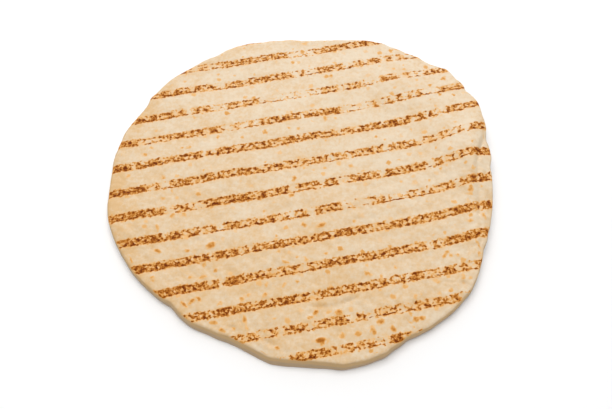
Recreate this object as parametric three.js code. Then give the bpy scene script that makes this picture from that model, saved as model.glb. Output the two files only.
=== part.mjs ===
// Lavash: one soft, hand-shaped round flatbread that lies flat, with its right-hand edge curled up.
// Millimetres, +Z up, +X to the right.
// The origin is under the middle of the bread, on the surface it lies on.

import * as THREE from 'three';

// The sheet of bread.
const THICKNESS = 9; // away from the rim
const ROLL_POWER = 0.5; // 1 makes the rim's section an oval, and less makes it squarer

// The rim, sharp and slanting at the front and rounder elsewhere: [bearing in degrees from +X,
// how far it reaches out past the flat faces, how far its lower edge stands out past the upper one].
const RIM = [
  [0, 2, 0],
  [60, 3, 0],
  [130, 4, 0],
  [195, 7, 0],
  [215, 5, 0.4],
  [238, 2, 1.4],
  [258, 1.3, 2.2],
  [275, 1.5, 1.9],
  [290, 3, 0.6],
  [305, 5, 0],
  [325, 4, 0],
  [342, 2, 0],
  [360, 2, 0],
];

// The broad, soft swells of the top: trains of waves as [bearing in degrees from +X, length,
// phase in degrees].
const SWELL_HEIGHT = 0.3; // of each train, above and below the mean
const SWELLS = [
  [20, 71, 0],
  [75, 54, 130],
  [130, 88, 250],
  [165, 47, 40],
];

// The ridge along the right-hand edge, on a bowed line that runs along Y.
const RIDGE_HEIGHT = 8;
const RIDGE_X = 121; // where its line crosses the X axis
const RIDGE_LEAN = 0.06; // how far the line moves along X for each millimetre of Y
const RIDGE_BOW = 0.0022; // the line's bend, for each square millimetre of Y
const RIDGE_CLIMB = [-34, 6]; // across the line, from the flat to the crest
const RIDGE_FALL = [-3, 17]; // across the line, from the crest to the outer strip
const RIDGE_LOSS = 0.8; // share of its height that the outer strip loses
const RIDGE_NEAR = [-100, 10]; // along Y, from where it starts to where it is full
const RIDGE_FAR = [15, 100]; // along Y, from where it is still full to where it ends

// The broad lift of the far right-hand quarter, which carries the ridge's far end.
const CORNER_HEIGHT = 5;
const CORNER_BEARING = 35; // degrees from +X, towards the lifted quarter
const CORNER_CLIMB = [84, 122]; // along that bearing, from the flat to the full lift
const CORNER_FAR = [80, 130]; // along Y, from where it is still full to where it ends

// The outline as it was shaped by hand: [bearing in degrees from +X, reach from the middle].
const OUTLINE = [
  [0, 135.5],
  [9, 138.5],
  [20, 143.5],
  [31, 149.5],
  [43, 153],
  [49, 149.5],
  [66, 148.5],
  [78, 141],
  [90, 138],
  [109, 141.5],
  [121, 140],
  [139, 141.5],
  [151, 138.5],
  [160, 141],
  [171, 140.5],
  [180, 139],
  [192, 140.5],
  [206, 137],
  [219, 133.5],
  [228, 131],
  [236, 132.5],
  [250, 130.5],
  [261, 136.5],
  [270, 137.5],
  [286, 142.5],
  [300, 138.5],
  [309, 140],
  [322, 141],
  [337, 136.5],
  [350, 135.5],
];

// How finely the surface is divided.
const SECTORS = 120; // round the outline
const TOP_ROWS = 24; // from the middle of the top to the rim
const RIM_ROWS = 8; // round the rim's section
const UNDERSIDE_ROWS = 9; // from the rim to the plain middle of the underside
const UNDERSIDE_PLAIN = 0.5; // share of the reach that the plain middle takes
const CROWDING = 1.5; // over 1 brings the rows closer together towards the rim

const CRUST = { color: 0xe4cba5, roughness: 0.85, metalness: 0 };

const { smoothstep, lerp, degToRad, radToDeg } = THREE.MathUtils;

// Evenly spaced points of a closed smooth curve through the outline's stations, centred on their box.
function outlinePoints() {
  const stations = OUTLINE.map(([bearing, reach]) => {
    const angle = degToRad(bearing);
    return new THREE.Vector3(reach * Math.cos(angle), reach * Math.sin(angle), 0);
  });
  const curve = new THREE.CatmullRomCurve3(stations, true, 'centripetal');
  const points = curve.getSpacedPoints(SECTORS).slice(0, SECTORS);
  const middle = new THREE.Box3().setFromPoints(points).getCenter(new THREE.Vector3());
  return points.map((point) => point.sub(middle));
}

// How far (x, y) lies along a bearing, given in degrees from +X.
function along(bearing, x, y) {
  const angle = degToRad(bearing);
  return x * Math.cos(angle) + y * Math.sin(angle);
}

// Height of the underside above the surface: the ridge climbs to its crest and falls to the outer strip,
// and the broad lift of the corner adds to it.
function lift(x, y) {
  const past = x - (RIDGE_X + RIDGE_LEAN * y + RIDGE_BOW * y * y);
  const across = smoothstep(past, ...RIDGE_CLIMB) - RIDGE_LOSS * smoothstep(past, ...RIDGE_FALL);
  const ridge = across * smoothstep(y, ...RIDGE_NEAR) * (1 - smoothstep(y, ...RIDGE_FAR));
  const outward = along(CORNER_BEARING, x, y);
  const corner = smoothstep(outward, ...CORNER_CLIMB) * (1 - smoothstep(y, ...CORNER_FAR));
  return RIDGE_HEIGHT * ridge + CORNER_HEIGHT * corner;
}

// The sum of the wave trains.
function swell(x, y) {
  const wave = ([bearing, length, phase]) =>
    Math.sin((2 * Math.PI * along(bearing, x, y)) / length + degToRad(phase));
  return SWELL_HEIGHT * SWELLS.reduce((sum, train) => sum + wave(train), 0);
}

// The rim's depths on a point's bearing, with straight lines between its stations.
function rimAt(point) {
  const bearing = (radToDeg(Math.atan2(point.y, point.x)) + 360) % 360;
  const next = RIM.findIndex(([station]) => station > bearing);
  const before = RIM[next - 1];
  const after = RIM[next];
  const share = (bearing - before[0]) / (after[0] - before[0]);
  return { roll: lerp(before[1], after[1], share), slant: lerp(before[2], after[2], share) };
}

// The section from the middle of the top, round the rim, to the underside. In each row, share is the part
// of the flat face's reach, out is the part of the rim's depth, and up runs from 1 on the top to -1 below.
function sectionRows() {
  const eased = (i, rows) => 1 - (1 - i / rows) ** CROWDING;
  const rows = [];
  for (let i = 1; i <= TOP_ROWS; i += 1) {
    rows.push({ share: eased(i, TOP_ROWS), out: 0, up: 1 });
  }
  for (let i = 1; i < RIM_ROWS; i += 1) {
    const turn = Math.PI * (0.5 - i / RIM_ROWS);
    const out = Math.cos(turn) ** ROLL_POWER;
    const up = Math.sign(turn) * Math.abs(Math.sin(turn)) ** ROLL_POWER;
    rows.push({ share: 1, out, up });
  }
  for (let i = UNDERSIDE_ROWS; i >= 0; i -= 1) {
    const share = UNDERSIDE_PLAIN + (1 - UNDERSIDE_PLAIN) * eased(i, UNDERSIDE_ROWS);
    rows.push({ share, out: 0, up: -1 });
  }
  return rows;
}

// A point of the sheet over (x, y): the swells fade out down the rim.
function sheetPoint(x, y, up) {
  const upper = (1 + up) / 2;
  return [x, y, lift(x, y) + upper * (THICKNESS + swell(x, y))];
}

// One closed skin: a fan at the middle of each face, and strips between the rows of the section.
function breadGeometry() {
  const outline = outlinePoints();
  const rows = sectionRows();
  const positions = [sheetPoint(0, 0, 1)];
  for (const { share, out, up } of rows) {
    for (const point of outline) {
      const reach = point.length();
      const { roll, slant } = rimAt(point);
      const flat = reach - roll - (slant * (1 + up)) / 2;
      const scale = (share * flat + out * roll) / reach;
      positions.push(sheetPoint(point.x * scale, point.y * scale, up));
    }
  }
  positions.push(sheetPoint(0, 0, -1));

  const index = [];
  const last = positions.length - 1;
  const at = (row, sector) => 1 + row * SECTORS + (sector % SECTORS);
  for (let sector = 0; sector < SECTORS; sector += 1) {
    index.push(0, at(0, sector), at(0, sector + 1));
    for (let row = 0; row + 1 < rows.length; row += 1) {
      index.push(at(row, sector), at(row + 1, sector), at(row + 1, sector + 1));
      index.push(at(row, sector), at(row + 1, sector + 1), at(row, sector + 1));
    }
    index.push(last, at(rows.length - 1, sector + 1), at(rows.length - 1, sector));
  }

  const geometry = new THREE.BufferGeometry();
  geometry.setAttribute('position', new THREE.Float32BufferAttribute(positions.flat(), 3));
  geometry.setIndex(index);
  geometry.computeVertexNormals();
  return geometry;
}

const bread = new THREE.Mesh(breadGeometry(), new THREE.MeshStandardMaterial(CRUST));
bread.name = 'lavash';

const lavash = new THREE.Group();
lavash.add(bread);

export default lavash;
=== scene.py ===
import math

import bpy
import numpy as np
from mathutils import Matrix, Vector


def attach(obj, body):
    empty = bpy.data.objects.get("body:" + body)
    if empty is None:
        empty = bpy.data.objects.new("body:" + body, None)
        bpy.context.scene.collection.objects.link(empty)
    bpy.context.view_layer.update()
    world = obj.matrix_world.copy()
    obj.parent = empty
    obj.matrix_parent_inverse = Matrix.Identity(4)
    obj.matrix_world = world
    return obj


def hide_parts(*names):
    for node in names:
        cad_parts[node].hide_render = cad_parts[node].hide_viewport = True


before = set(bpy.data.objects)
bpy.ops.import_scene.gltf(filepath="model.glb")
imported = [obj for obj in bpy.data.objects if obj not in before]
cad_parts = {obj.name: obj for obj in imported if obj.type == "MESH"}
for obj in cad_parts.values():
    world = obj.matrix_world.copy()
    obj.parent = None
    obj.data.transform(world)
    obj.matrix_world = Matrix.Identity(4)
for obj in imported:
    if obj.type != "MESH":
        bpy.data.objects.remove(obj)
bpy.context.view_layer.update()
print("frame loaded")

# Lengths are in millimetres, as the bread was measured, and putMesh turns them into metres.
# Bearings are in degrees from +X, and phases in degrees.
millimetre = 0.001

# The sheet of bread: its thickness, its rolled rim, the right-hand edge that is curled up, and the outline.
sheet = {
    "thickness": 9.0,
    "rollPower": 0.5,  # under 1 makes the rim's section squarer than an oval
    # bearing, how far the rim reaches past the flat faces, how far its lower edge stands out past the
    # upper one, and the painted shade beside the edge: above 0 a darker cream as painted shade, below 0 a
    # paler cream as a painted highlight
    "rim": [
        (0, 2.0, 0.0, 0.0), (60, 3.0, 0.0, 0.0), (95, 3.5, 0.0, 0.1), (130, 4.0, 0.0, 0.3),
        (195, 7.0, 0.0, 0.4), (215, 5.0, 0.4, 0.1), (238, 2.0, 1.4, -0.2), (258, 1.3, 2.2, -0.25),
        (275, 1.5, 1.9, -0.25), (290, 3.0, 0.6, -0.25), (305, 5.0, 0.0, -0.3), (325, 4.0, 0.0, -0.1),
        (342, 2.0, 0.0, 0.0),
    ],
    "edgeShadeBreadth": (8.0, 1.0),  # inwards from the edge, where that cream starts and where it is full
    "swellHeight": 0.3,
    "swells": [(20, 71, 0), (75, 54, 130), (130, 88, 250), (165, 47, 40)],  # bearing, length, phase
    "ridgeHeight": 8.0,
    "ridgeLine": (121.0, 0.06, 0.0022),  # x = first + second y + third y^2
    "ridgeClimb": (-34.0, 6.0),  # across that line, from the flat to the crest
    "ridgeFall": (-3.0, 17.0),  # across it, from the crest to the outer strip
    "ridgeLoss": 0.8,  # share of its height that the outer strip loses
    "ridgeNear": (-100.0, 10.0),  # along y, from where it starts to where it is full
    "ridgeFar": (15.0, 100.0),  # along y, from where it is still full to where it ends
    "cornerHeight": 5.0,  # of the broad lift of the far right-hand corner
    "cornerBearing": 35.0,
    "cornerClimb": (84.0, 122.0),  # along that bearing, from the flat to the full lift
    "cornerFar": (80.0, 130.0),  # along y, from where it is still full to where it ends
    "meanReach": 140.0,  # about the outline's, for what varies along it
    "spokeGap": 0.5,  # degrees, less than between two spokes of the CAD mesh
    "outlineStep": 0.25,  # degrees between the places where the outline is worked out
    "outlineSoftness": 1.6,  # degrees over which the outline's corners are rounded
    "outlineWander": (0.08, 9.0, 40.0, 21),  # unevenness: height, shortest and longest wave, seed
    # dents in the outline: bearing, depth, half width in degrees. A depth below 0 is a bulge.
    "dents": [
        (4.2, 1.2, 2.0), (8.3, -0.5, 2.0), (14.2, 1.4, 2.0), (19.4, -0.6, 2.0), (26.7, -1.1, 2.4),
        (32.7, 1.6, 1.6), (38.1, 1.0, 1.6), (42.9, -1.5, 1.5), (52.5, -1.6, 2.4), (61.8, 0.9, 1.5),
        (93.5, -1.0, 2.2), (103.7, 0.9, 2.4), (118.8, 1.4, 2.4), (130.0, 0.5, 3.0),
        (145.7, -1.3, 2.0), (165.0, 0.5, 6.0), (213.0, -0.5, 5.0), (227.7, 0.9, 2.0),
        (241.5, 0.4, 2.2), (262.0, -0.5, 2.2), (280.5, -0.9, 2.4), (292.5, -0.7, 2.2),
        (300.5, 0.9, 2.0), (314.7, -0.6, 2.5), (325.0, -1.0, 4.5), (336.5, 0.8, 1.8),
        (341.5, 0.6, 1.6),
    ],
    "ringCrowding": 1.25,  # over 1 brings the rings closer together towards the rim
    "topCells": 256,  # squares across the top
    "rimRows": 12,  # parts of the half turn from the top to the underside
}

# Small relief that the hands and the oven leave.
relief = {
    "waves": 28,  # in each uneven field
    "ripple": (0.24, 7.0, 22.0, 11),  # height, shortest and longest wave, seed
    # share of the ripples that the far half loses, and from where to where along y
    "smoother": (0.5, -50.0, 60.0),
    "pores": (0.07, 2.6, 5.0, 12),
    "underside": (0.12, 6.0, 20.0, 13),
    "undersidePower": 8,  # a higher one takes the underside's hollows closer to its edge
    "grooveDepth": 0.25,  # where the grill's bars pressed
    "groovePlain": 0.4,  # share of that depth where a mark isn't charred
    "blisterHeight": 0.35,  # of the toasted spots
    # groove round the side: depth, and its place and width on the rim's -1 to 1
    "sideLayer": (0.40, -0.15, 0.22),
    "sideBreaks": (12.0, 60.0, 22),  # where it comes and goes: shortest and longest wave, seed
    # along the outer foot of the ridge, from the near end to the dent in the edge, as x, y
    "creaseLine": [
        (122, -50), (125, -25), (126, -10), (125.6, 3),
        (127, 15), (129.2, 23.5), (132.2, 30.5), (137, 42),
    ],
    "creaseDepth": 1.2,
    "creaseWidths": (4.5, 2.4),  # on its inner and outer side
    "creaseReach": (-55.0, -20.0),  # along y, from where it starts to where it is full
    "flap": (1.8, 24.0, 14.0),  # drop of the strip outside it, with its middle and half width along y
    "flapFoot": (-3.0, 1.0),  # across the crease, from where that strip starts to where it has dropped
    "wrinkleEnds": (-0.15, 0.25),  # in shares of its length, where a wrinkle starts and where it is full
    # short wrinkles: from x, y to x, y, half width, depth
    "wrinkles": [
        (5, -97.5, 23, -97.5, 1.3, 1.08),
        (26, -95.5, 40, -90.5, 1.4, 1.19),
        (-51, -111.5, -42, -113.5, 1.4, 0.76),
        (-41, -102, -39, -112, 1.2, 0.76),
        (68.5, -105, 76, -115.5, 1.3, 1.1),
        (48, -122, 56, -124, 1.3, 0.97),
        (-2, -102, -1, -107, 1.2, 0.65),
        (95, -79, 104, -81, 1.3, 0.76),
        (108, -80, 112, -82, 1.2, 0.76),
        (-26, -121, -15, -126, 1.8, 0.97),
        (120, -27, 125, -29, 1.3, 0.86),
        (112, -62, 118, -46, 1.3, 0.65),
        (121, -62, 124, -46, 1.0, 0.76),
    ],
}

# The grill's marks: straight bands that rise to the right.
grill = {
    "bearing": 11.56,
    "pitch": 21.15,
    "first": 122.4,  # where the farthest mark's middle lies, across the marks
    # of each mark from its even place
    "drift": [-1.2, -0.7, -0.2, 0.4, 0.9, 0.7, 0.4, 0.2, -0.2, -0.2, -0.7, -0.5, 0.9],
    "halfWidth": 3.05,
    "grooveEdge": (0.9, -1.1),  # past the half width, where the groove ends and where it is full
    "outerPitch": 20.2,  # from the first and last marks to those that would only touch the edge
    # of each mark's char
    "levels": [0.455, 0.44, 0.43, 0.42, 0.445, 0.43, 0.465, 0.41, 0.48, 0.465, 0.455, 0.395, 0.44],
    "bareLoss": 0.31,
    "heavyGain": 0.20,
    "stretchSoftness": 2.0,  # how gradually a bare or heavy stretch starts and ends
    # the marks get darker towards the left-hand edge: from where to where along them, and how much
    "leftEnd": (-92.0, -118.0, 0.16),
    # where each mark is nearly bare, along the marks
    "bare": {
        1: [(-64, -58), (-50, -41), (13, 35)],
        2: [(-47, -39), (13, 19), (23, 33), (54, 63), (70, 73), (84, 88), (93, 98), (104, 110)],
        3: [(-73, -68), (-54, -42), (-31, -29), (-18, 32), (46, 52), (65, 78), (92, 98), (103, 114)],
        4: [
            (-111, -99), (-48, -40), (-35, -28), (-25, -20), (11, 14), (43, 67), (72, 79), (83, 86),
            (91, 95), (98, 101), (107, 119),
        ],
        5: [
            (-119, -116), (-112, -109), (-66, -63), (-59, -56), (36, 38), (92, 95), (103, 106),
            (110, 119),
        ],
        6: [
            (-109, -104), (-100, -93), (10, 12), (24, 28), (38, 40), (65, 70), (91, 95), (103, 107),
            (116, 121), (124, 130),
        ],
        7: [
            (-99, -91), (-79, -71), (-8, -3), (13, 17), (25, 35), (57, 61), (91, 98), (104, 107),
            (112, 115),
        ],
        8: [
            (-77, -75), (-65, -60), (-15, -9), (-1, 5), (25, 45), (57, 73), (79, 82), (85, 88),
            (107, 110),
        ],
        9: [(-73, -71), (-53, -50), (-46, -43), (41, 45), (51, 53)],
        10: [(-71, -67), (-34, -30), (-13, -9), (75, 79), (82, 84)],
        11: [
            (-79, -77), (-13, -9), (41, 43), (46, 48), (54, 56), (66, 69), (78, 81), (89, 92),
            (99, 102),
        ],
        12: [(-50, -43), (-37, -34), (-18, -15), (9, 14), (21, 27), (44, 48), (51, 53), (87, 92)],
        13: [(-48, -33), (-2, 2), (8, 11), (16, 18), (22, 31), (46, 60)],
    },
    # where each mark is charred most, along the marks
    "heavy": {
        2: [(-90, -84)],
        3: [(-102, -95), (-88, -84)],
        4: [(-120, -116), (-82, -78), (-6, 4), (32, 40)],
        5: [(-130, -124), (-104, -100), (-72, -68), (-54, -45), (-21, -16), (-2, 4), (75, 82)],
        6: [(-136, -122), (-116, -112), (-86, -78), (-68, -64), (-38, -34)],
        7: [(-119, -114), (-67, -60), (-54, -50), (-45, -40), (-30, -27), (126, 136)],
        8: [(-120, -113), (-96, -91), (-56, -53), (-28, -25), (18, 22), (98, 102), (119, 122)],
        9: [(-66, -61), (18, 28), (100, 110), (120, 126)],
        10: [(-106, -82), (-64, -58), (2, 8), (16, 21), (42, 45), (106, 110)],
        11: [(-74, -64), (-30, -26), (-18, -15), (15, 18), (60, 64), (84, 88)],
        12: [(-28, -25), (1, 6), (55, 58)],
        13: [(12, 15), (34, 42)],
    },
    "undersideShift": 0.5,  # in marks: those of the other plate lie between these
    "undersideSlide": 1000.0,  # along the marks, so that the underside's grains aren't the top's
}

# Toasted spots on the tops of small bubbles.
toast = {
    # x, y, half length, half width, bearing of the length, depth of the browning
    "spots": [
        (13, -122, 3.4, 2.0, 10, 1.5), (14, -124.5, 1.8, 1.3, 60, 1.0),
        (-36.5, -107.5, 3.6, 1.5, 105, 1.0), (-35, -113.5, 2.2, 1.3, 100, 0.6),
        (120, -10, 4.6, 2.0, 83, 0.9), (75.5, -107, 2.4, 2.0, 30, 1.2),
        (79.5, -106.2, 2.2, 1.7, 10, 1.2), (-62, -52, 3.6, 2.4, 35, 1.2), (14, -36, 3.8, 1.8, 16, 1.2),
        (2, -35, 2.2, 1.8, 144, 1.1), (6, -106, 2.6, 1.6, 20, 0.9), (10, -102, 2.6, 1.5, 50, 1.25),
        (98, -60, 2.8, 1.3, 65, 0.9), (100, -57, 1.8, 1.3, 10, 0.9), (102, -59, 2.4, 1.2, 120, 0.8),
        (47, -115, 3.6, 1.8, 108, 1.0), (52, -109, 2.7, 2.1, 25, 1.2), (-5, 3, 3.0, 2.0, 81, 0.9),
        (25, -102, 2.8, 2.2, 17, 1.15), (110, 94, 2.8, 1.9, 79, 0.9), (-98, -56, 3.2, 1.4, 153, 1.1),
        (-57, -109.5, 3.4, 1.5, 178, 0.95), (-100, -38, 3.8, 1.3, 107, 0.7),
        (-100, -77, 2.2, 1.6, 70, 0.7), (60, -114, 2.8, 1.6, 114, 1.1), (-77, -97, 3.0, 1.4, 137, 1.1),
        (-72, -94.5, 3.0, 1.4, 45, 1.1), (-39, -93, 2.3, 1.7, 121, 1.0), (109, -76, 2.8, 1.4, 90, 0.7),
        (91, -79, 3.4, 1.6, 144, 0.75), (-66, -76, 3.0, 1.8, 20, 0.8), (-82, -27, 2.2, 1.8, 144, 0.9),
        (18, 58, 3.0, 1.5, 102, 0.95), (-78, -56, 1.9, 1.5, 0, 1.0), (-15, -127, 1.9, 1.6, 155, 1.0),
        (100, -86, 2.1, 1.6, 58, 0.9), (-15, -57, 2.6, 1.6, 36, 0.7), (-83, 31, 2.5, 1.2, 16, 0.7),
        (-7, -11, 2.2, 1.6, 6, 1.1), (23, 99, 1.9, 1.6, 63, 0.8), (-62, 41, 2.3, 1.5, 80, 0.8),
        (76, -91, 2.4, 1.7, 77, 0.7), (46, -75, 2.2, 1.5, 159, 0.7), (-57.5, -71, 2.0, 1.6, 60, 0.9),
        (-67.5, -92.5, 2.6, 1.4, 130, 1.0), (-78, -96, 1.7, 1.3, 120, 1.0),
        (-51, -115, 2.8, 1.4, 150, 0.9), (-35, -90, 1.8, 1.4, 50, 1.0), (-24, -90, 2.3, 1.7, 60, 1.0),
        (-53, -95.5, 2.0, 1.5, 30, 0.8), (-10, -65, 3.4, 1.5, 170, 0.7), (3.5, -63, 2.8, 1.5, 110, 0.7),
        (-2.5, -79.5, 1.6, 1.3, 20, 0.9), (-23, -82, 2.4, 1.6, 70, 0.7),
        (127.5, -30.5, 3.2, 1.5, 111, 0.8), (117.5, -34.5, 2.4, 1.6, 20, 0.75),
        (121, -52.5, 4.0, 1.0, 117, 0.7), (121.5, -60, 2.4, 1.4, 100, 0.8),
        # The last spot on this line lies along the wrinkle from (68.5, -105) to (76, -115.5), not on a
        # bubble, and browns that fold.
        (114, -77, 1.8, 1.4, 30, 0.7), (72.5, -110.5, 6.0, 0.9, 125, 0.55),
    ],
    "spotEdge": (1.5, 0.4),  # in shares of its half size, where a spot ends and where it is full
    "ragged": (2.2, 2.0, 0.6),  # a noise: size of its features, detail, roughness
    "spotRaggedness": 1.6,
    "spotFrom": (0.25, 1.65),  # depth, with its raggedness, that starts to brown, and that browns most
    "spotDepth": 0.75,  # browning of the deepest
    "dotSpacing": 9.0,  # of the many small dots
    "dotShare": 0.6,  # share of the places that have one
    "dotCut": 0.02,  # small, so that a dot is there or not
    "dotReach": (0.6, 2.0),  # smallest and largest
    "dotRaggedness": 4.0,
    "dotEdge": (-0.6, 0.8),  # inwards from a dot's edge, where it starts and where it is full
    "dotDepth": 0.38,
    "dotSlide": 300.0,  # so that the underside's dots aren't the top's
}

# The map for baked pictures, with a disc for each face: its middle, and how much of the map a millimetre
# takes.
bakeMap = {
    "name": "OFBake",
    "top": ((0.62, 0.612), 0.00244),
    "underside": ((0.215, 0.215), -0.00145),  # below 0, so that it is turned half round
}


# 0 before start, 1 after end, and 3t^2 - 2t^3 between them.
def smoothStep(value, start, end):
    t = np.clip((value - start) / (end - start), 0.0, 1.0)
    return t * t * (3.0 - 2.0 * t)


# How far (x, y) lies along a bearing: x cos + y sin.
def alongBearing(bearing, x, y):
    turn = math.radians(bearing)
    return x * math.cos(turn) + y * math.sin(turn)


# The turn from a place to a bearing, between -180 and 180 degrees.
def turnFrom(place, bearing):
    return (bearing - place + 180.0) % 360.0 - 180.0


# An uneven field of spread about 1: the sum of many sine waves of random bearing, length and phase.
def ripples(x, y, shortest, longest, seed):
    count = relief["waves"]
    draw = np.random.default_rng(seed)
    turn = draw.uniform(0.0, math.tau, count)
    length = np.exp(draw.uniform(math.log(shortest), math.log(longest), count))
    phase = draw.uniform(0.0, math.tau, count)
    field = np.zeros_like(x)
    for angle, wave, start in zip(turn, length, phase):
        field += np.sin(math.tau * (x * math.cos(angle) + y * math.sin(angle)) / wave + start)
    return field * math.sqrt(2.0 / count)


# Such a field along the edge, read on a circle: bearings are in radians here.
def edgeRipples(bearing, shortest, longest, seed):
    reach = sheet["meanReach"]
    return ripples(reach * np.cos(bearing), reach * np.sin(bearing), shortest, longest, seed)


# Height of the underside over the table: a ridge that climbs to its crest and falls to the outer strip,
# on a line that is a parabola in y, and the broad lift of the far right-hand corner.
def lift(x, y):
    start, lean, bow = sheet["ridgeLine"]
    past = x - (start + lean * y + bow * y * y)
    fall = smoothStep(past, *sheet["ridgeFall"])
    ridge = smoothStep(past, *sheet["ridgeClimb"]) - sheet["ridgeLoss"] * fall
    ridge = ridge * smoothStep(y, *sheet["ridgeNear"]) * (1.0 - smoothStep(y, *sheet["ridgeFar"]))
    corner = smoothStep(alongBearing(sheet["cornerBearing"], x, y), *sheet["cornerClimb"])
    corner = corner * (1.0 - smoothStep(y, *sheet["cornerFar"]))
    return sheet["ridgeHeight"] * ridge + sheet["cornerHeight"] * corner


# Broad, soft swells: the sum of the wave trains.
def swell(x, y):
    total = np.zeros_like(x)
    for bearing, length, phase in sheet["swells"]:
        total += np.sin(math.tau * alongBearing(bearing, x, y) / length + math.radians(phase))
    return sheet["swellHeight"] * total


# Place along the marks, and place across them counted in marks: whole numbers are the marks' middles.
def markPlace(x, y):
    along = alongBearing(grill["bearing"], x, y)
    across = alongBearing(grill["bearing"] + 90.0, x, y)
    count = len(grill["drift"])
    middles = grill["first"] - grill["pitch"] * np.arange(count) + np.array(grill["drift"])
    # straight lines between the middles, with one mark more at each end
    outer = grill["outerPitch"]
    middles = np.concatenate([[middles[0] + outer], middles, [middles[-1] - outer]])
    return along, np.interp(-across, -middles, np.arange(count + 2.0))


# How strongly each mark is charred: its own level, less where it is nearly bare, and more where it is
# charred most and at its left-hand end.
def markStrength(along, number):
    nearest = np.clip(np.round(number), 1, len(grill["levels"])).astype(int)
    strength = np.array(grill["levels"])[nearest - 1]
    soft = grill["stretchSoftness"]
    for table, gain in (("bare", -grill["bareLoss"]), ("heavy", grill["heavyGain"])):
        for mark, stretches in grill[table].items():
            for start, end in stretches:
                begun = smoothStep(along, start - soft, start + soft)
                inside = begun * smoothStep(along, end + soft, end - soft)
                strength = strength + gain * inside * (nearest == mark)
    start, end, gain = grill["leftEnd"]
    return strength + gain * smoothStep(along, start, end)


# How far a point lies in a mark's groove: 1 along its middle, 0 beyond its edge.
def markBand(number):
    distance = np.abs(number - np.round(number)) * grill["pitch"]
    outside, inside = grill["grooveEdge"]
    return smoothStep(distance, grill["halfWidth"] + outside, grill["halfWidth"] + inside)


# Toasted spots: each is an ellipse, full inside and soft at its edge. Where two meet, the stronger counts.
def spotField(x, y):
    field = np.zeros_like(x)
    for spotX, spotY, long, wide, bearing, depth in toast["spots"]:
        along = alongBearing(bearing, x - spotX, y - spotY) / long
        across = alongBearing(bearing + 90.0, x - spotX, y - spotY) / wide
        field = np.maximum(field, depth * smoothStep(np.hypot(along, across), *toast["spotEdge"]))
    return field


# A groove along a straight line: a bell across it, fading at both ends.
def wrinkle(x, y, startX, startY, endX, endY, width, depth):
    length = math.hypot(endX - startX, endY - startY)
    bearing = math.degrees(math.atan2(endY - startY, endX - startX))
    along = alongBearing(bearing, x - startX, y - startY) / length
    across = alongBearing(bearing + 90.0, x - startX, y - startY)
    none, full = relief["wrinkleEnds"]
    fade = smoothStep(along, none, full) * smoothStep(along, 1.0 - none, 1.0 - full)
    return -depth * fade * np.exp(-((across / width) ** 2))


# Small relief of the top: the sum of ripples, pores, pressed marks, blisters, crease, flap and wrinkles.
def topRelief(x, y):
    height, shortest, longest, seed = relief["ripple"]
    loss, start, end = relief["smoother"]
    total = height * (1.0 - loss * smoothStep(y, start, end)) * ripples(x, y, shortest, longest, seed)
    height, shortest, longest, seed = relief["pores"]
    total += height * ripples(x, y, shortest, longest, seed)
    along, number = markPlace(x, y)
    pressed = relief["groovePlain"] + markStrength(along, number)
    total -= relief["grooveDepth"] * markBand(number) * pressed
    total += relief["blisterHeight"] * spotField(x, y)
    creaseX, creaseY = zip(*relief["creaseLine"])
    past = x - np.interp(y, creaseY, creaseX)
    inner, outer = relief["creaseWidths"]
    crease = np.where(past < 0.0, np.exp(-np.abs(past) / inner), np.exp(-((past / outer) ** 2)))
    total -= relief["creaseDepth"] * crease * smoothStep(y, *relief["creaseReach"]) * (y < creaseY[-1])
    drop, middle, width = relief["flap"]
    total -= drop * smoothStep(past, *relief["flapFoot"]) * np.exp(-(((y - middle) / width) ** 2))
    for line in relief["wrinkles"]:
        total += wrinkle(x, y, *line)
    return total


# Bearings and reaches of the CAD outline: on each spoke of its mesh, the point farthest from the middle.
def cadOutline(node):
    points = np.empty(len(node.data.vertices) * 3, np.float32)
    node.data.vertices.foreach_get("co", points)
    points = points.reshape(-1, 3) / millimetre
    reach = np.hypot(points[:, 0], points[:, 1])
    spokes = reach > sheet["thickness"]  # not the middle of a face, which has no bearing
    bearing = np.degrees(np.arctan2(points[spokes, 1], points[spokes, 0]))
    order = np.argsort(bearing)
    starts = np.flatnonzero(np.diff(bearing[order], prepend=-np.inf) > sheet["spokeGap"])
    return bearing[order][starts], np.maximum.reduceat(reach[spokes][order], starts)


# The outline's reach on any bearing in radians: the CAD outline with its corners rounded by a bell,
# a slight wander, and a bell for each dent.
def outlineReach(bearing, outline):
    fine = np.arange(0.0, 360.0, sheet["outlineStep"])
    reach = np.interp(fine, *outline, period=360.0)
    bell = np.exp(-0.5 * (turnFrom(0.0, fine) / sheet["outlineSoftness"]) ** 2)
    reach = np.fft.irfft(np.fft.rfft(reach) * np.fft.rfft(bell / bell.sum()), len(fine))
    height, shortest, longest, seed = sheet["outlineWander"]
    reach += height * edgeRipples(np.radians(fine), shortest, longest, seed)
    for place, depth, width in sheet["dents"]:
        reach -= depth * np.exp(-((turnFrom(place, fine) / width) ** 2))
    return np.interp(np.degrees(bearing), fine, reach, period=360.0)


# One column of the rim's table on any bearing in radians: straight lines between the bearings given there.
def rimColumn(bearing, column):
    columns = list(zip(*sheet["rim"]))
    return np.interp(np.degrees(bearing), columns[0], columns[column], period=360.0)


# How far the rim reaches past the flat faces, and how far the lower edge stands out past the upper one.
def rimDepth(bearing):
    return rimColumn(bearing, 1), rimColumn(bearing, 2)


# The rim's section in rows from the top down: out = cos^p and up = sin^p of a half turn, without its ends.
def rimSection():
    rows = np.arange(1, sheet["rimRows"])
    turn = math.pi * (0.5 - rows / sheet["rimRows"])
    out = np.cos(turn) ** sheet["rollPower"]
    up = np.sign(turn) * np.abs(np.sin(turn)) ** sheet["rollPower"]
    return out, up


# Reach of the flat underside: the outline's reach, less what the rim's farthest row adds.
def flatReach(bearing, outline, out, up):
    roll, slant = rimDepth(bearing)
    added = out[:, None] * roll - slant * (1.0 + up[:, None]) / 2.0
    return outlineReach(bearing, outline) - added.max(axis=0)


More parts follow.
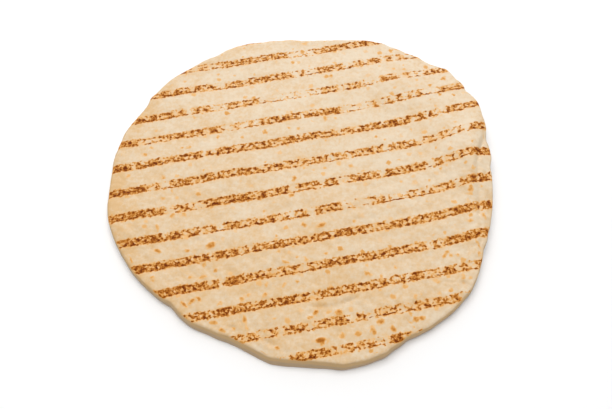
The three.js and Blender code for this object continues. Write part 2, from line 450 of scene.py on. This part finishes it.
# A square grid bent into a disc: each ring of the square becomes a circle, and each side a quarter turn.
def squareDisc(cells):
    line = np.linspace(-1.0, 1.0, cells + 1)
    a, b = np.meshgrid(line, line, indexing="ij")
    ring = np.maximum(np.abs(a), np.abs(b))
    wide = np.abs(a) >= np.abs(b)
    safeA = np.where(a == 0.0, 1.0, a)
    safeB = np.where(b == 0.0, 1.0, b)
    eighth = math.pi / 4.0
    bearing = np.where(wide, eighth * b / safeA, 2.0 * eighth - eighth * a / safeB)
    bearing = bearing + math.pi * np.where(wide, a < 0.0, b < 0.0)
    ring = 1.0 - (1.0 - ring) ** sheet["ringCrowding"]
    return ring.ravel(), bearing.ravel()


# The numbers of the grid's vertices, in its rows and columns.
def gridNumbers(cells):
    return np.arange((cells + 1) ** 2).reshape(cells + 1, cells + 1)


# The grid's vertices along its edge, in order of bearing from -45 degrees.
def edgeLoop(cells):
    number = gridNumbers(cells)
    return np.concatenate([number[-1, :-1], number[:0:-1, -1], number[0, :0:-1], number[:-1, 0]])


# The grid's squares, each as four vertices that turn from a towards b.
def gridSquares(cells):
    number = gridNumbers(cells)
    corners = [number[:-1, :-1], number[1:, :-1], number[1:, 1:], number[:-1, 1:]]
    return np.stack(corners, -1).reshape(-1, 4)


# The squares between the rim's rows, and the triangles that close the gap between its last row and the
# underside's coarser edge: three for each side of that edge, which spans two spokes.
def rimFaces(rings, coarse):
    following = np.roll(rings, -1, axis=1)
    strips = np.stack([rings[1:], following[1:], following[:-1], rings[:-1]], -1).reshape(-1, 4)
    coarseNext = np.roll(coarse, -1)
    first = rings[-1, 0::2]
    middle = rings[-1, 1::2]
    last = np.roll(first, -1)
    triangles = [(coarse, middle, first), (coarse, coarseNext, middle), (coarseNext, last, middle)]
    return strips, np.concatenate([np.stack(corners, -1) for corners in triangles])


# Puts vertices, squares and triangles into a new mesh object, and gives the faces' corners too.
def putMesh(name, points, squares, triangles):
    mesh = bpy.data.meshes.new(name)
    corners = np.concatenate([squares.ravel(), triangles.ravel()]).astype(np.int32)
    sizes = np.concatenate([np.full(len(squares), 4), np.full(len(triangles), 3)])
    mesh.vertices.add(len(points))
    mesh.vertices.foreach_set("co", (points * millimetre).astype(np.float32).ravel())
    mesh.loops.add(len(corners))
    mesh.loops.foreach_set("vertex_index", corners)
    mesh.polygons.add(len(sizes))
    mesh.polygons.foreach_set("loop_start", (np.cumsum(sizes) - sizes).astype(np.int32))
    mesh.update(calc_edges=True)
    mesh.validate()
    mesh.shade_smooth()
    piece = bpy.data.objects.new(name, mesh)
    bpy.context.scene.collection.objects.link(piece)
    return piece, corners


# Stores one number or vector for each vertex.
def putAttribute(piece, name, kind, field, values):
    layer = piece.data.attributes.new(name, kind, "POINT")
    layer.data.foreach_set(field, values.astype(np.float32).ravel())


# Places on the bake map, on one face's disc: its middle, and the reach scaled and turned to the bearing.
def discPlace(face, reach, bearing):
    middle, scale = bakeMap[face]
    direction = np.stack([np.cos(bearing), np.sin(bearing)], -1)
    return np.array(middle) + scale * reach[:, None] * direction


# Place on the marks, their strength and the toasted spots, for each vertex. The underside's marks lie
# between the top's and vary as they do, turned half round, and its spots are mirrored.
def putBrowning(piece, x, y, under):
    along, number = markPlace(x, y)
    number = np.where(under, number + grill["undersideShift"], number)
    turnedNumber = len(grill["levels"]) + 1.0 - number
    strength = np.where(under, markStrength(-along, turnedNumber), markStrength(along, number))
    along = np.where(under, along + grill["undersideSlide"], along)
    marks = np.stack([along, number * grill["pitch"], strength], -1)
    putAttribute(piece, "grill", "FLOAT_VECTOR", "vector", marks)
    putAttribute(piece, "toast", "FLOAT", "value", spotField(np.where(under, -x, x), y))


# The bread: a fine disc on top, rows round the rim, a coarser disc below, and a ring of triangles that
# closes it.
def makeBread(outline):
    out, up = rimSection()
    cells = sheet["topCells"]
    ring, bearing = squareDisc(cells)
    roll, slant = rimDepth(bearing)
    base = flatReach(bearing, outline, out, up)
    topReach = ring * (base - slant)
    x = topReach * np.cos(bearing)
    y = topReach * np.sin(bearing)
    topHeight = lift(x, y) + sheet["thickness"] + swell(x, y) + topRelief(x, y)
    top = np.stack([x, y, topHeight], -1)

    # each row of the rim stands out by the roll, less the slant above and the groove round the side
    loop = edgeLoop(cells)
    spoke = bearing[loop]
    depth, place, width = relief["sideLayer"]
    broken = (1.0 + edgeRipples(spoke, *relief["sideBreaks"])) / 2.0
    groove = depth * np.exp(-(((up - place) / width) ** 2))[:, None] * broken
    upper = (1.0 + up[:, None]) / 2.0
    reach = base[loop] - slant[loop] * upper + out[:, None] * roll[loop] - groove
    rimX = reach * np.cos(spoke)
    rimY = reach * np.sin(spoke)
    edgeRelief = topRelief(x[loop], y[loop])
    rimHeight = lift(rimX, rimY) + upper * (sheet["thickness"] + swell(rimX, rimY) + edgeRelief)
    rim = np.stack([rimX, rimY, rimHeight], -1)

    # the underside has half as many squares across, so its edge meets every second spoke
    lowCells = cells // 2
    lowRing, lowBearing = squareDisc(lowCells)
    lowFlat = flatReach(lowBearing, outline, out, up)
    lowReach = lowRing * lowFlat
    lowX = lowReach * np.cos(lowBearing)
    lowY = lowReach * np.sin(lowBearing)
    height, shortest, longest, seed = relief["underside"]
    hollows = height * np.abs(ripples(lowX, lowY, shortest, longest, seed))
    hollows = hollows * (1.0 - lowRing ** relief["undersidePower"])
    low = np.stack([lowX, lowY, lift(lowX, lowY) + hollows], -1)

    points = np.concatenate([top, rim.reshape(-1, 3), low])
    lowStart = len(points) - len(low)
    rings = np.concatenate([loop[None, :], np.arange(len(top), lowStart).reshape(len(up), -1)])
    lowLoop = edgeLoop(lowCells)
    strips, triangles = rimFaces(rings, lowStart + lowLoop)
    upperSquares = np.concatenate([gridSquares(cells), strips])
    squares = np.concatenate([upperSquares, lowStart + gridSquares(lowCells)[:, ::-1]])
    piece, corners = putMesh("lavash_crust", points, squares, triangles)

    # on the bake map the rim is unrolled round the top, as far as the underside's edge
    section = np.concatenate([top[loop][None], rim])
    lengths = np.linalg.norm(np.diff(section, axis=0), axis=-1)
    unrolled = np.cumsum(lengths, axis=0) + topReach[loop]
    unrolledLow = np.zeros(len(low))
    gap = np.linalg.norm(low[lowLoop] - section[-1, 0::2], axis=-1)
    unrolledLow[lowLoop] = unrolled[-1, 0::2] + gap
    around = np.concatenate([bearing, np.tile(spoke, len(up)), lowBearing])
    upperReach = np.concatenate([topReach, unrolled.ravel(), unrolledLow])
    upperPlace = discPlace("top", upperReach, around)
    lowerPlace = discPlace("underside", lowReach, lowBearing)
    upperEnd = upperSquares.size
    lowEnd = squares.size
    lowCorners = corners[upperEnd:lowEnd] - lowStart
    places = [upperPlace[corners[:upperEnd]], lowerPlace[lowCorners], upperPlace[corners[lowEnd:]]]
    bakeLayer = piece.data.uv_layers.new(name=bakeMap["name"])
    bakeLayer.data.foreach_set("uv", np.concatenate(places).astype(np.float32).ravel())

    # what the crust's material reads: side of the sheet, painted shade and highlight beside the edge, marks
    # and spots
    facing = np.concatenate([np.ones(len(top)), np.repeat(up, len(loop)), -np.ones(len(low))])
    onRim = np.zeros(len(up) * len(loop))
    inland = np.concatenate([(1.0 - ring) * base, onRim, (1.0 - lowRing) * lowFlat])
    # painted shade beside the edge: darker cream where the edge is shaded, paler along the near edge as a
    # painted highlight
    edgeShadeAndHighlight = rimColumn(around, 3) * smoothStep(inland, *sheet["edgeShadeBreadth"])
    putAttribute(piece, "facing", "FLOAT", "value", facing)
    putAttribute(piece, "edgeShadeAndHighlight", "FLOAT", "value", edgeShadeAndHighlight)
    putBrowning(piece, points[:, 0], points[:, 1], facing < 0.0)
    return piece


# One output socket. Operators on it add Math nodes, and add() makes any other node.
class Wire:
    def __init__(self, tree, socket=None):
        self.tree = tree
        self.socket = socket

    # settings go on the new node first, then each socket gets a link or a value
    def add(self, kind, settings, sockets, out=0):
        made = self.tree.nodes.new("ShaderNode" + kind)
        for name, value in settings.items():
            setattr(made, name, value)
        for name, value in sockets.items():
            if isinstance(value, Wire):
                self.tree.links.new(value.socket, made.inputs[name])
            else:
                made.inputs[name].default_value = value
        return Wire(self.tree, made.outputs[out]) if made.outputs else None

    def math(self, operation, *values):
        return self.add("Math", {"operation": operation}, dict(enumerate(values)))

    def __add__(self, other):
        return self.math("ADD", self, other)

    def __radd__(self, other):
        return self.math("ADD", other, self)

    def __sub__(self, other):
        return self.math("SUBTRACT", self, other)

    def __rsub__(self, other):
        return self.math("SUBTRACT", other, self)

    def __mul__(self, other):
        return self.math("MULTIPLY", self, other)

    def __rmul__(self, other):
        return self.math("MULTIPLY", other, self)

    def __abs__(self):
        return self.math("ABSOLUTE", self)

    # the larger of two values
    def most(self, other):
        return self.math("MAXIMUM", self, other)

    # 0 at start, 1 at end, smooth between
    def rise(self, start, end):
        ends = {"Value": self, "From Min": start, "From Max": end}
        return self.add("MapRange", {"interpolation_type": "SMOOTHSTEP"}, ends)

    # 0 at start, 1 at end, straight between
    def step(self, start, end):
        return self.add("MapRange", {}, {"Value": self, "From Min": start, "From Max": end})

    # a colour part of the way from one to another, by the colour sockets of a Mix node
    def blend(self, first, second):
        return self.add("Mix", {"data_type": "RGBA"}, {0: self, 6: first, 7: second}, 2)

    # a vector of this value and another
    def pair(self, other):
        return self.add("CombineXYZ", {}, {"X": self, "Y": other})

    # a vector's three values
    def parts(self):
        return [self.add("SeparateXYZ", {}, {0: self}, axis) for axis in "XYZ"]

    # noise about 0.5 over a vector in millimetres, with features of a given size
    def noise(self, size, detail, roughness):
        sockets = {"Vector": self, "Scale": 1.0 / size, "Detail": detail, "Roughness": roughness}
        return self.add("TexNoise", {}, sockets)

    # a noise's swing to either side of 0
    def swing(self, gain):
        return gain * (self - 0.5)


# Linear colour of a picture's 0 to 255 values, by the sRGB curve.
def colour(red, green, blue):
    parts = np.array([red, green, blue]) / 255.0
    linear = np.where(parts <= 0.04045, parts / 12.92, ((parts + 0.055) / 1.055) ** 2.4)
    return (*linear.tolist(), 1.0)


# The char in the grill's marks: grains with holes between them, heavier in patches and along the edges of
# the bars. A noise is the size of its features, its detail and its roughness.
char = {
    "grain": (2.7, 3.0, 0.7),
    "holes": (2.4, 1.0, 0.5),
    "patch": (4.2, 1.0, 0.5),
    "patchSqueeze": 0.8,  # under 1 draws the patches out along the marks
    "lines": (8.0, 1.0, 0.5),
    "lineThinness": 4.0,  # over 1 makes the lines along the bars' edges thin
    "raggedness": 3.4,  # how far the holes move a mark's edge
    "bandEdge": (0.8, -0.7),  # past the half width, where the char ends and where it is full
    "burntEdge": (-1.5, -0.7),  # past the half width, from where the edge burns to where it burns most
    "burntGain": (0.3, 0.55),  # on both edges, and what the nearer one adds
    "burntLines": (0.42, 0.62),  # of the lines' noise, where nothing burns and where all does
    "burntGrain": (0.30, 0.55),  # the same of the grain's
    "nearSide": (-1.5, 1.5),  # across a mark, from its farther side to its nearer one
    "patchGain": 1.1,
    "holeGain": 1.5,
    "grainGain": 0.9,
    "scorch": (0.28, 0.15, 0.60),  # browning under the grains, and the cover from which to which it grows
    "dense": (0.30, 0.70),  # cover at which grains start and at which they are dense
    "grains": (0.37, 4.2),  # their browning, and how much it varies
    "warmth": (0.07, 5.0, 1.5),  # browning of the dough at a mark, and from where to where across
    "nearWarmth": (0.05, 7.0, 2.5),  # the same on the nearer side
    "warmStrength": (0.05, 0.45),  # strength of a mark that starts to warm it, and that warms it fully
}


# Browning by the grill, and the grain that it shows. Cover is a mark's strength, more or less by its
# patches, its holes and its burnt edges: it scorches the band, and where it is high it fills it with grains.
def charBrowning(marks):
    along, across, strength = marks.parts()
    distance = across.math("WRAP", across, grill["pitch"] / 2.0, -grill["pitch"] / 2.0)
    apart = abs(distance)
    near = distance.rise(*char["nearSide"])
    onMarks = along.pair(across)
    grain = onMarks.noise(*char["grain"])
    holes = onMarks.noise(*char["holes"])
    patch = (along * char["patchSqueeze"]).pair(across).noise(*char["patch"])
    lines = along.pair(across * char["lineThinness"]).noise(*char["lines"])

    away = apart - holes.swing(char["raggedness"])
    half = grill["halfWidth"]
    band = away.rise(*[half + past for past in char["bandEdge"]])
    edge = away.rise(*[half + past for past in char["burntEdge"]])
    both, nearer = char["burntGain"]
    edge = edge * (both + nearer * near) * lines.rise(*char["burntLines"])
    edge = edge * grain.rise(*char["burntGrain"])
    cover = strength + patch.swing(char["patchGain"]) + holes.swing(char["holeGain"]) + edge
    dense = (cover + grain.swing(char["grainGain"])).rise(*char["dense"])

    amount, start, end = char["warmth"]
    warmth = amount * apart.rise(start, end)
    amount, start, end = char["nearWarmth"]
    warmth = (warmth + amount * near * apart.rise(start, end)) * strength.rise(*char["warmStrength"])
    amount, start, end = char["scorch"]
    browning, variation = char["grains"]
    inBand = amount * cover.rise(start, end) + dense * (browning + grain.swing(variation))
    return warmth + band * inBand, grain


# Browning by the oven: toasted spots with ragged edges, and many small dots, each in a cell of its own,
# whose random colour says whether it is there, how large it is and how deep.
def toastBrowning(place, facing, spots):
    ragged = place.noise(*toast["ragged"])
    toasted = toast["spotDepth"] * (spots + ragged.swing(toast["spotRaggedness"])).step(*toast["spotFrom"])

    slide = (toast["dotSlide"] * facing).pair(0.0)
    slid = place.add("VectorMath", {"operation": "ADD"}, {0: place, 1: slide})
    cells = {"Vector": slid, "Scale": 1.0 / toast["dotSpacing"]}
    flat = {"voronoi_dimensions": "2D"}
    dotAway = toast["dotSpacing"] * place.add("TexVoronoi", flat, cells, "Distance")
    dotHere, dotSize, dotDepth = place.add("TexVoronoi", flat, cells, "Color").parts()
    smallest, largest = toast["dotReach"]
    dotReach = smallest + (largest - smallest) * dotSize
    dot = (dotReach - dotAway + ragged.swing(toast["dotRaggedness"])).rise(*toast["dotEdge"])
    dot = dot * dotHere.step(toast["dotShare"], toast["dotShare"] - toast["dotCut"])
    return toasted.most(dot * (toast["dotDepth"] * dotDepth))


# The crust: cream dough, a browner side that is partly painted shade, the colours of its browning, and its
# surface.
crust = {
    "cream": colour(221, 200, 170),
    "creamDeep": colour(213, 173, 118),
    # The far right's paler dough is partly painted light, as if lit and glossed more, and the near left's
    # deeper cream partly painted shade.
    "deepAndShadeShare": (0.2, 0.5),  # share of the deep cream: at the far right, and what is added to the near left, partly as painted light
    "shadeBearing": 65.0,
    "shadeReach": (70.0, -140.0),  # along that bearing, from where to where it is added
    "mottle": (14.0, 3.0, 0.6),  # a noise, as in the char
    "mottleGain": 1.6,
    "flour": (3.0, 3.0, 0.65),
    "flourGain": 1.6,
    # the side's colours: darker than the dough, partly painted shade, and greyer below as painted shade from
    # the floor
    "side": colour(203, 169, 121),
    "sideLowShade": colour(188, 161, 129),
    "sideLine": colour(178, 140, 92),
    # places on the rim's 1 to -1
    "sideTop": (0.97, 0.6),  # from where to where the side's colours take over, below the top
    "sideFoot": (-1.0, -0.985),  # and above the underside
    "sideShadeTurn": (0.25, -0.2),  # from where to where its lower colour, a painted shade, takes over
    "linePlace": 0.8,
    "lineEdge": (0.22, 0.05),  # to either side, where the line ends and where it is full
    "lineShare": 0.6,
    "streaks": (7.0, 2.0, 0.5),
    "streakFlatness": 4.0,  # over 1 draws the streaks out round the side
    "streakGain": 0.5,
    "lineBreaks": (0.4, 0.6),  # of the streaks' noise, where the line is broken and where it is whole
    # browning from faint to full: how much, and its colour
    "browning": [
        (0.20, colour(226, 175, 108)),
        (0.35, colour(215, 154, 78)),
        (0.50, colour(200, 132, 57)),
        (0.65, colour(181, 110, 34)),
        (0.80, colour(159, 88, 17)),
        (0.95, colour(137, 67, 5)),
        (1.15, colour(110, 46, 1)),
    ],
    "crusty": (0.1, 0.5),  # browning at which the surface starts to be crusty, and at which it is
    "pores": (0.9, 2.0, 0.65),
    "poreHeight": 0.05,
    "flourHeight": 0.05,
    "grainHeight": 0.12,
    "bumpStrength": 0.5,
    "roughness": (0.95, 0.7),  # of the char and of the dough
    "specular": 0.08,
    "sheen": 0.5,  # coat on the dough, none on the char
    "sheenRoughness": 0.85,
}


# The crust's material: two creams blended into the dough's colour, with painted light across it, two browner
# ones with a line above them at the side, partly painted shade, and then one brown after another, as far as
# the grill or the oven went.
def crustMaterial():
    material = bpy.data.materials.new("baked_crust")
    material.use_nodes = True
    tree = material.node_tree
    tree.nodes.clear()
    start = Wire(tree)

    metres = start.add("TexCoord", {}, {}, "Object")
    place = start.add("VectorMath", {"operation": "SCALE"}, {0: metres, "Scale": 1.0 / millimetre})
    facing = start.add("Attribute", {"attribute_name": "facing"}, {}, "Fac")
    spots = start.add("Attribute", {"attribute_name": "toast"}, {}, "Fac")
    # painted shade and highlight beside the edge
    edgeShadeAndHighlight = start.add("Attribute", {"attribute_name": "edgeShadeAndHighlight"}, {}, "Fac")
    marks = start.add("Attribute", {"attribute_name": "grill"}, {}, "Vector")

    # dough: broad mottling and fine flour grain, the dough's own tone, with painted light across it and
    # painted shade and highlight beside the edge
    mottle = place.noise(*crust["mottle"])
    flour = place.noise(*crust["flour"])
    # a cream gradient along this bearing that is partly the dough's browning and partly painted light
    turn = math.radians(crust["shadeBearing"])
    towards = {0: place, 1: (math.cos(turn), math.sin(turn), 0.0)}
    alongShadeBearing = start.add("VectorMath", {"operation": "DOT_PRODUCT"}, towards, "Value")
    least, added = crust["deepAndShadeShare"]
    toneAndShade = least + edgeShadeAndHighlight + added * alongShadeBearing.step(*crust["shadeReach"])
    toneAndShade = toneAndShade + mottle.swing(crust["mottleGain"]) + flour.swing(crust["flourGain"])
    dough = toneAndShade.step(0.0, 1.0).blend(crust["cream"], crust["creamDeep"])

    # side: streaked, with a browner line round it, darker than the dough partly as painted shade, and greyer
    # below as painted shade
    flattened = {0: place, 1: (1.0, 1.0, crust["streakFlatness"])}
    streaks = start.add("VectorMath", {"operation": "MULTIPLY"}, flattened).noise(*crust["streaks"])
    sideShare = facing.rise(*crust["sideTop"]) * facing.rise(*crust["sideFoot"])
    lineHere = abs(facing - crust["linePlace"]).rise(*crust["lineEdge"])
    lineHere = lineHere * streaks.rise(*crust["lineBreaks"])
    # the lower colour is painted shade: the side greyer towards the floor, where it is shaded
    lower = (facing + streaks.swing(crust["streakGain"])).rise(*crust["sideShadeTurn"])
    sideColourAndShade = lower.blend(crust["side"], crust["sideLowShade"])
    sideColourAndShade = (lineHere * crust["lineShare"]).blend(sideColourAndShade, crust["sideLine"])
    body = sideShare.blend(dough, sideColourAndShade)

    # browning on the faces, not on the side
    charred, grain = charBrowning(marks)
    brown = charred.most(toastBrowning(place, facing, spots)) * (1.0 - sideShare)
    faint = 0.0
    for full, tint in crust["browning"]:
        body = brown.step(faint, full).blend(body, tint)
        faint = full

    # surface: pores and flour everywhere, crusty grains in the marks
    pores = place.noise(*crust["pores"])
    crusty = brown.rise(*crust["crusty"])
    height = crust["poreHeight"] * pores + crust["flourHeight"] * flour
    height = height + crust["grainHeight"] * (crusty * grain)
    bumps = {"Strength": crust["bumpStrength"], "Distance": millimetre, "Height": height}
    charRough, doughRough = crust["roughness"]
    sockets = {
        "Base Color": body,
        "Roughness": doughRough + (charRough - doughRough) * crusty,
        "Normal": start.add("Bump", {}, bumps),
        "Specular IOR Level": crust["specular"],
        "Coat Weight": crust["sheen"] * (1.0 - crusty),
        "Coat Roughness": crust["sheenRoughness"],
    }
    shader = start.add("BsdfPrincipled", {}, sockets)
    start.add("OutputMaterial", {}, {"Surface": shader})
    return material


# The studio: a white floor, one large soft light above, one behind that only adds gloss, and a camera that
# looks down at the bread.
studio = {
    "aim": (3.47, -14.39, 2.0),
    "distance": 609.8,
    "elevation": 58.0,
    "lens": 50.0,
    "sensor": 36.0,
    # soft lights: place, size, watts, and whether it lights surfaces or only glosses them
    "lights": {
        "overhead": ((-90.0, 345.0, 2100.0), 1650.0, 34.2, True),
        "behind": ((0.0, 1150.0, 900.0), 1400.0, 100.0, False),
    },
    "white": (1.0, 1.0, 1.0, 1.0),
    "world": 0.44,
    "floorColour": colour(238, 238, 238),
    "floorRoughness": 0.9,
    "floorGlow": 0.077,
    "floorReach": 4000.0,
    "floorDrop": 0.1,
}


# A matt white that glows a little.
def floorMaterial():
    material = bpy.data.materials.new("white_floor")
    material.use_nodes = True
    shader = material.node_tree.nodes["Principled BSDF"]
    shader.inputs["Base Color"].default_value = studio["floorColour"]
    shader.inputs["Roughness"].default_value = studio["floorRoughness"]
    shader.inputs["Emission Color"].default_value = studio["white"]
    shader.inputs["Emission Strength"].default_value = studio["floorGlow"]
    return material


# The camera stands back from its aim by its distance, at its elevation. The lights face the bread, and the
# floor is one square just under it.
def makeStudio():
    scene = bpy.context.scene
    elevation = math.radians(studio["elevation"])
    back = studio["distance"] * millimetre
    aim = np.array(studio["aim"]) * millimetre
    lens = bpy.data.cameras.new("camera")
    lens.lens = studio["lens"]
    lens.sensor_width = studio["sensor"]
    camera = bpy.data.objects.new("camera", lens)
    camera.location = aim + back * np.array([0.0, -math.cos(elevation), math.sin(elevation)])
    camera.rotation_euler = (math.pi / 2.0 - elevation, 0.0, 0.0)
    scene.collection.objects.link(camera)
    scene.camera = camera

    for name, (place, size, watts, lit) in studio["lights"].items():
        lamp = bpy.data.lights.new(name, "AREA")
        lamp.size = size * millimetre
        lamp.energy = watts
        light = bpy.data.objects.new(name, lamp)
        light.location = Vector(place) * millimetre
        light.visible_diffuse = lit
        light.rotation_euler = (-light.location).to_track_quat("-Z", "Y").to_euler()  # towards the bread
        scene.collection.objects.link(light)

    scene.world = bpy.data.worlds.new("white_room")
    scene.world.use_nodes = True
    background = scene.world.node_tree.nodes["Background"]
    background.inputs["Color"].default_value = studio["white"]
    background.inputs["Strength"].default_value = studio["world"]

    reach = studio["floorReach"]
    corners = np.array([[-1, -1, 0], [1, -1, 0], [1, 1, 0], [-1, 1, 0]]) * reach
    corners = corners - np.array([0.0, 0.0, studio["floorDrop"]])
    floor, _ = putMesh("floor", corners, np.array([[0, 1, 2, 3]]), np.zeros((0, 3), int))
    floor.data.materials.append(floorMaterial())
    scene.view_settings.view_transform = "Standard"


outline = cadOutline(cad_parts["lavash"])
print("outline read:", len(outline[0]), "spokes")
breadPiece = makeBread(outline)
breadPiece.data.materials.append(crustMaterial())
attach(breadPiece, "root")
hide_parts("lavash")
print("bread made:", len(breadPiece.data.polygons), "faces")
makeStudio()
print("studio made")
